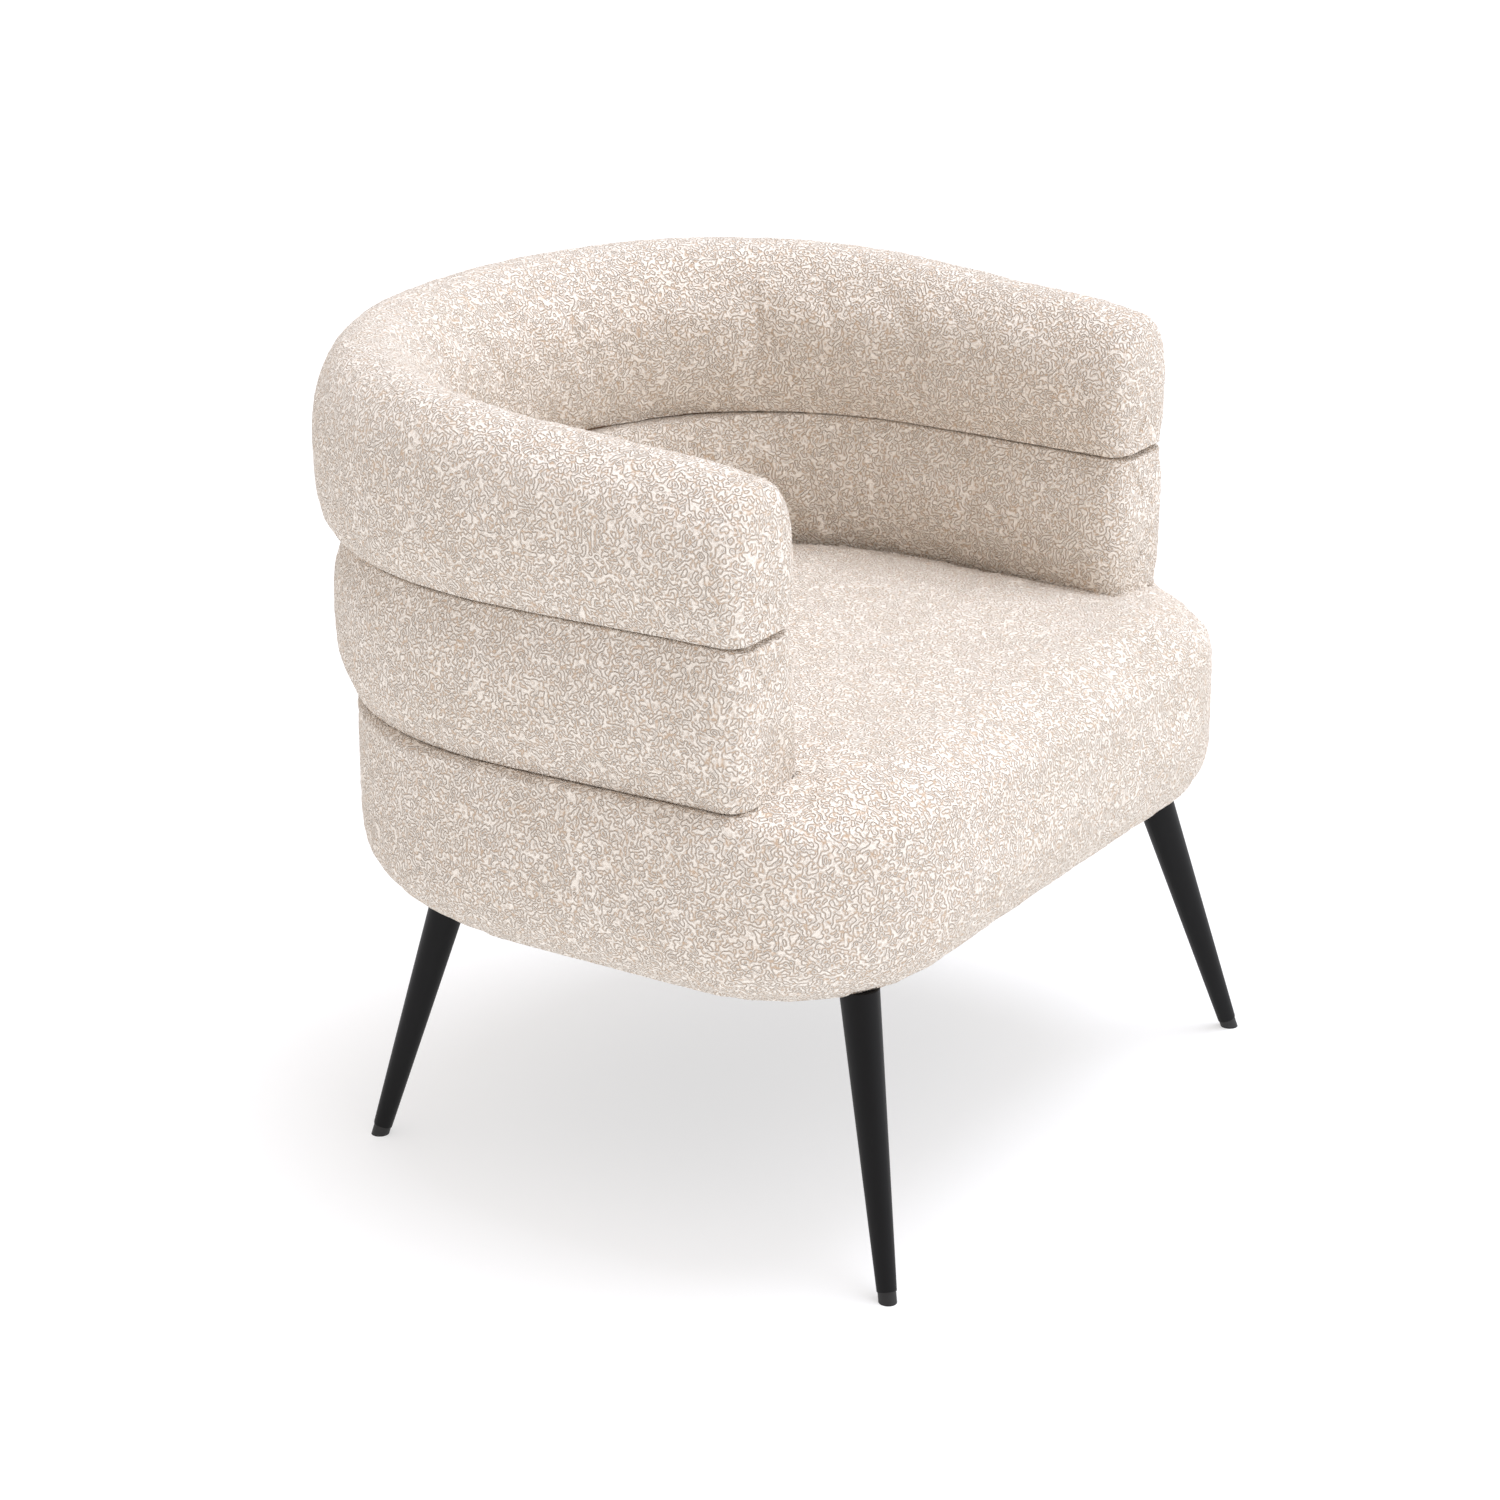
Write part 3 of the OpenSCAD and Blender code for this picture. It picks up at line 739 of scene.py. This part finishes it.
def foam():
    m = Nodes("foam")
    pores = m.add("ShaderNodeTexVoronoi")
    pores.inputs["Scale"].default_value = 700
    m.link(*m.place(), pores, "Vector")
    pore = (pores, "Distance")
    patch = m.noise(m.place(), 18, 2.0)
    # darker towards each pore's middle: painted shade in the pores
    shade = m.ramp(pore, [(0.1, (0.70, 0.60, 0.36)), (0.6, (0.90, 0.82, 0.56))])
    tint = m.ramp(patch, [(0.3, (0.86, 0.76, 0.48)), (0.7, (0.94, 0.88, 0.66))])
    m.colour(m.mix(0.25, shade, tint))
    m.roughness(pore, 0.85, 1.0)
    m.bump(pore, 0.0006, 0.6)
    return m.material


def fibres(name, dark, light, scale, rough=(0.85, 0.98)):
    """Pressed or needled fibres."""
    m = Nodes(name)
    hair = m.noise(m.place((1, 3, 1)), scale, 4.0, 0.7)
    fleck = m.noise(m.place(), scale / 6, 2.0)
    shade = m.ramp(hair, [(0.3, dark), (0.7, light)])
    m.colour(m.mix(0.3, shade, m.ramp(fleck, [(0.35, dark), (0.65, light)])))
    m.roughness(hair, *rough)
    m.bump(hair, 0.0003, 0.6)
    return m.material


FINISHES = {
    "boucle": boucle(),
    "black_leg": black_leg(),
    "glide": glide(),
    "plywood": wood("plywood", (0.60, 0.42, 0.24), (0.38, 0.23, 0.11), (0.4, 0.4, 9), 70),
    "timber": wood("timber", (0.56, 0.35, 0.17), (0.36, 0.19, 0.08), (6, 6, 0.5), 45),
    "fibreboard": fibres("fibreboard", (0.12, 0.065, 0.03), (0.22, 0.13, 0.07), 500, (0.6, 0.8)),
    "bare_steel": steel(),
    "foam": foam(),
    "felt": fibres("felt", (0.12, 0.12, 0.115), (0.34, 0.34, 0.32), 420),
    "dust_cloth": fibres("dust_cloth", (0.006,) * 3, (0.022,) * 3, 700, (0.8, 0.95)),
}

# Each CAD node's finish. The longest key that its name starts with counts.
NODE_FINISH = {
    "leg_": "black_leg",
    "leg_block": "timber",
    "leg_studs": "bare_steel",
    "glide": "glide",
    "seat_foam": "foam",
    "edge_foam": "foam",
    "lower_roll_foam": "foam",
    "upper_roll_foam": "foam",
    "spring_pad": "felt",
    "seat_springs": "bare_steel",
    "spring_clips": "bare_steel",
    "lower_seat_ring": "plywood",
    "spring_ring": "plywood",
    "ring_spacer": "timber",
    "lower_rib": "plywood",
    "middle_rib": "plywood",
    "top_rib": "plywood",
    "arm_post": "timber",
    "back_post": "timber",
    "inner_panel": "fibreboard",
    "threaded_inserts": "bare_steel",
    "block_screws": "bare_steel",
    "post_screws": "bare_steel",
    "cover_staples": "bare_steel",
    "dust_cover": "dust_cloth",
    "base_cover": "boucle",
    "lower_roll_cover": "boucle",
    "upper_roll_cover": "boucle",
}


def paint(obj, material):
    obj.data.materials.clear()
    obj.data.materials.append(material)


for name, node in nodes.items():
    start = max((k for k in NODE_FINISH if name.startswith(k)), key=len)
    for holder in node.material_slots:
        holder.material = FINISHES[NODE_FINISH[start]]

# ---------- soft pieces ----------


def cover(piece, node, below, above):
    """Finishes a cover's surface, hangs it under the root body and hides its CAD node."""
    paint(piece, FINISHES["boucle"])
    pile(piece, below, above)
    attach(piece, "root")
    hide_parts(node)


def skin_of(obj):
    """Search tree of an object's surface."""
    mesh = obj.data
    corners = [list(face.vertices) for face in mesh.polygons]
    return BVHTree.FromPolygons([v.co.copy() for v in mesh.vertices], corners)


SEARCH = 0.02  # how far the nearest point of a neighbour is looked for
STEEP = 0.6  # faces whose normal rises more than this count as a solid's top or bottom
DEEPEST = 0.03  # points further inside than this face the solid's other side


def keep_outside(mesh, skin, depth):
    """Moves points sideways so that none lies more than depth inside a solid's sides."""
    points = points_of(mesh)
    for k, point in enumerate(points):
        near, out, _, _ = skin.find_nearest(Vector(point))
        if abs(out.z) > STEEP:
            continue
        inside = (near - Vector(point)).dot(out)
        if depth < inside < DEEPEST:
            side = Vector((out.x, out.y, 0)).normalized()
            points[k] += np.array(side * (inside - depth))
    move_to(mesh, points)


def keep_off(mesh, skin, room):
    """Moves a cover's points outwards where a thin board inside comes too close."""
    points = points_of(mesh)
    outs = normals_at(mesh) * [1, 1, 0]
    for k, out in enumerate(outs):
        near, _, _, _ = skin.find_nearest(Vector(points[k]), SEARCH)
        flat = np.linalg.norm(out)
        if near is None or flat < 0.3:
            continue
        gap = (points[k] - np.array(near)) @ out / flat
        if gap < room:
            points[k] += out / flat * (room - gap)
    move_to(mesh, points)


def keep_inside(mesh, skins, depth):
    """Moves points so that each lies at least depth inside the covers."""
    points = points_of(mesh)
    for skin in skins:
        for k, point in enumerate(points):
            near, out, _, _ = skin.find_nearest(Vector(point), SEARCH)
            if near is None:
                continue
            inside = (near - Vector(point)).dot(out)
            if inside < depth:
                points[k] -= np.array(out * (depth - inside))
    move_to(mesh, points)


def roll(name, node, foam_node, back, exponent, z0, z1, domed):
    """Builds one roll's cover and sinks its seams."""
    piece = new_object(name, roll_mesh(name, back, exponent, z0, domed))
    keep_outside(piece.data, skin_of(nodes[foam_node]), FOAM_DEPTH)
    if domed:
        keep_off(piece.data, skin_of(nodes["inner_panel"]), BOARD_ROOM)
    inflate(piece, ROLL_LIFT)
    subdivide(piece)
    mesh = piece.data
    points = points_of(mesh)
    seam = got(mesh, "end_seam")
    mark = groove(np.abs(got(mesh, "along")) - TOP_SEAM_AT, TOP_SEAM_W) if domed else 0
    depth = END_SEAM_DEPTH * smooth(seam) + TOP_SEAM_DEPTH * mark
    move_to(mesh, points - normals_at(mesh) * np.asarray(depth).reshape(-1, 1))
    # the attribute seam holds how much painted shadow each seam's groove gets
    put(mesh, "seam", np.clip(END_SEAM_SHADOW * smooth(seam) + TOP_SEAM_SHADOW * mark, 0, 1))
    cover(piece, node, z0 + SEAM_GAP / 2, z1 - SEAM_GAP / 2)
    return piece


upper_roll = roll(
    "upper_roll_boucle",
    "upper_roll_cover",
    "upper_roll_foam",
    UPPER_BACK,
    UPPER_EXP,
    UPPER_SEAM,
    TOP_Z + 0.01,
    True,
)
lower_roll = roll(
    "lower_roll_boucle",
    "lower_roll_cover",
    "lower_roll_foam",
    LOWER_BACK,
    LOWER_EXP,
    LOWER_SEAM,
    UPPER_SEAM,
    False,
)

# The seat block. Its cover is held where the lower roll sits on it and where it is stapled
# below, and what lies under the roll stays below the seam's plane.
HOLD_IN, HOLD_BELOW, STAPLED = 0.004, 0.012, 0.004
RISE_FROM, RISE_OVER, RISE_ROOM, RISE_ZONE = 0.008, 0.009, 0.012, 0.02


def roll_depth(points):
    """How far a point in plan lies inside the lower roll's footprint, negative outside it."""
    line = horseshoe(LOWER_BACK, LOWER_EXP)
    ahead = np.array([[0, ARM_END - line[-1, 1]]])
    line = np.concatenate([line[:1] + ahead, line, line[-1:] + ahead])
    centre = (line - normals_of(line) * ROLL_T / 2)[::3]
    best = np.full(len(points), 9.0)
    for a, b in zip(centre[:-1], centre[1:]):
        side = b - a
        t = np.clip((points - a) @ side / (side @ side), 0, 1)
        best = np.minimum(best, ((points - a - t[:, None] * side) ** 2).sum(1))
    return np.minimum(ROLL_T / 2 - np.sqrt(best), points[:, 1] - ARM_END)


block = new_object("seat_block_boucle", block_mesh("seat_block_boucle"))
even = block.modifiers.new("even", "REMESH")
even.mode = "VOXEL"
even.voxel_size = BLOCK_VOXEL
settle(block)
where = points_of(block.data)
inside = roll_depth(where[:, :2])
under_roll = (inside > HOLD_IN) & (where[:, 2] > LOWER_SEAM - HOLD_BELOW)
under_seat = where[:, 2] < BLOCK_Z + STAPLED
put(block.data, "held", (under_roll | under_seat).astype(float))
inflate(block, BLOCK_LIFT)
subdivide(block)
mesh = block.data
points = points_of(mesh)
inside = roll_depth(points[:, :2])
rise = smooth((RISE_FROM - inside) / RISE_OVER)
limit = LOWER_SEAM - SEAM_GAP + rise * (SEAT_CROWN + RISE_ROOM)
top = points[:, 2] > LOWER_SEAM - RISE_ZONE
points[:, 2] = np.where(top, np.minimum(points[:, 2], limit), points[:, 2])
move_to(mesh, points)
cover(block, "base_cover", BLOCK_Z - 0.001, TOP_Z)


def foam_piece(node, around, inset, voxel):
    """The foam inside a cover, drawn in from its CAD solid and softened."""
    piece = new_object(node + "_piece", nodes[node].data.copy())
    clean(piece.data, merge=1e-5)
    cells = piece.modifiers.new("cells", "REMESH")
    cells.mode = "VOXEL"
    cells.voxel_size = voxel
    settle(piece)
    move_to(piece.data, points_of(piece.data) - normals_at(piece.data) * inset)
    keep_inside(piece.data, [skin_of(around)], inset / 2)
    piece.data.shade_smooth()
    paint(piece, FINISHES["foam"])
    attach(piece, "root")
    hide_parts(node)


foam_piece("upper_roll_foam", upper_roll, 0.008, 0.008)
foam_piece("lower_roll_foam", lower_roll, 0.008, 0.008)
foam_piece("seat_foam", block, 0.008, 0.008)
foam_piece("edge_foam", block, 0.005, 0.006)

# ---------- dust cloth ----------

# A black sheet stretched under the block, cut round and notched for the legs
DUST_INSET = 0.0672  # from the block's outline to the cloth's edge
LEG_ROOM = 0.0015  # between a leg and its notch
NOTCH_STEP, NOTCH_STEPS = 0.0004, 200  # a notch is cut in steps, up to 80 mm deep
DUST_T, EDGE = 0.0009, 0.0002  # the cloth's thickness and the rounding of its edge
LEG_NODES = ("leg_front_left", "leg_front_right", "leg_back_left", "leg_back_right")


def dust_mesh(name):
    """The dust cloth's mesh, and its cut edge in plan."""
    line = block_outline()[::3]
    out = facing_out(line)
    rim = line - out * DUST_INSET
    for leg in LEG_NODES:
        top = points_of(nodes[leg].data)
        top = top[top[:, 2] > dust_low.z - 0.001][:, :2]
        axis = (top.min(0) + top.max(0)) / 2
        reach = np.linalg.norm(top - axis, axis=1).max() + LEG_ROOM
        for _ in range(NOTCH_STEPS):
            near = np.linalg.norm(rim - axis, axis=1) < reach
            rim[near] -= out[near] * NOTCH_STEP
    high = dust_high.z
    low = high - DUST_T
    # The upper face, the rounded edge and the lower face
    profile = ((EDGE, high), (0, high - EDGE), (0, low + EDGE), (EDGE, low))
    rings = [np.column_stack([rim - out * d, np.full(len(rim), z)]) for d, z in profile]
    n = len(line)
    faces = [list(range(n)), list(range(4 * n - 1, 3 * n - 1, -1))] + band(len(rings), n)
    mesh = bpy.data.meshes.new(name)
    mesh.from_pydata(np.concatenate(rings).tolist(), [], faces)
    clean(mesh, cut=True)
    return mesh, rim


mesh, rim = dust_mesh("dust_cloth")
dust_cloth = new_object("dust_cloth", mesh)
paint(dust_cloth, FINISHES["dust_cloth"])
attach(dust_cloth, "root")
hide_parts("dust_cover")

# ---------- camera, floor and light ----------

YAW, PITCH = 1.0014158, 0.3542185
CAMERA_AT = (-2.6174, -1.6832, 1.4653)
FLOOR_HALF = 60

camera = bpy.data.objects.new("camera", bpy.data.cameras.new("camera"))
scene.collection.objects.link(camera)
level = math.cos(PITCH)
ahead = Vector((math.sin(YAW) * level, math.cos(YAW) * level, -math.sin(PITCH)))
right = Vector((math.cos(YAW), -math.sin(YAW), 0))
up = right.cross(ahead)
camera.matrix_world = Matrix.Translation(CAMERA_AT) @ Matrix(
    [[right[k], up[k], -ahead[k]] for k in range(3)]
).to_4x4()
camera.data.sensor_width = 36
camera.data.lens = 87.18
camera.data.clip_end = 200
scene.camera = camera

floor_mesh = bpy.data.meshes.new("floor")
corners = [(FLOOR_HALF * x, FLOOR_HALF * y, 0) for x, y in ((-1, -1), (1, -1), (1, 1), (-1, 1))]
floor_mesh.from_pydata(corners, [], [(0, 1, 2, 3)])
floor = new_object("floor", floor_mesh)
m = Nodes("floor")
m.colour(m.ramp(m.noise(m.place(), 2.0, 2.0), [(0.3, (0.50,) * 3), (0.7, (0.51,) * 3)]))
m.set(Roughness=0.9, Specular_IOR_Level=0.0, Emission_Strength=0.56)
m.shader.inputs["Emission Color"].default_value = (1, 1, 1, 1)
paint(floor, m.material)

world = bpy.data.worlds.new("studio")
scene.world = world
world.use_nodes = True
background = world.node_tree.nodes["Background"]
background.inputs["Color"].default_value = (1.0, 0.94, 0.925, 1)
background.inputs["Strength"].default_value = 0.71
SUN_COLOUR = (0.95, 1.0, 1.11)


def sun(name, azimuth, height, spread, strength):
    """A soft distant light from a direction: 0 is in front of the chair and 90 on its left."""
    data = bpy.data.lights.new(name, "SUN")
    data.energy = strength
    data.angle = math.radians(spread)
    data.color = SUN_COLOUR
    made = bpy.data.objects.new(name, data)
    scene.collection.objects.link(made)
    a, e = math.radians(azimuth), math.radians(height)
    back = Vector((math.sin(a) * math.cos(e), -math.cos(a) * math.cos(e), math.sin(e)))
    made.rotation_mode = "QUATERNION"
    made.rotation_quaternion = back.to_track_quat("Z", "Y")


sun("key", 70, 76, 36, 1.64)
sun("front", 22, 42, 80, 0.98)

scene.view_settings.view_transform = "Standard"

bpy.context.view_layer.update()
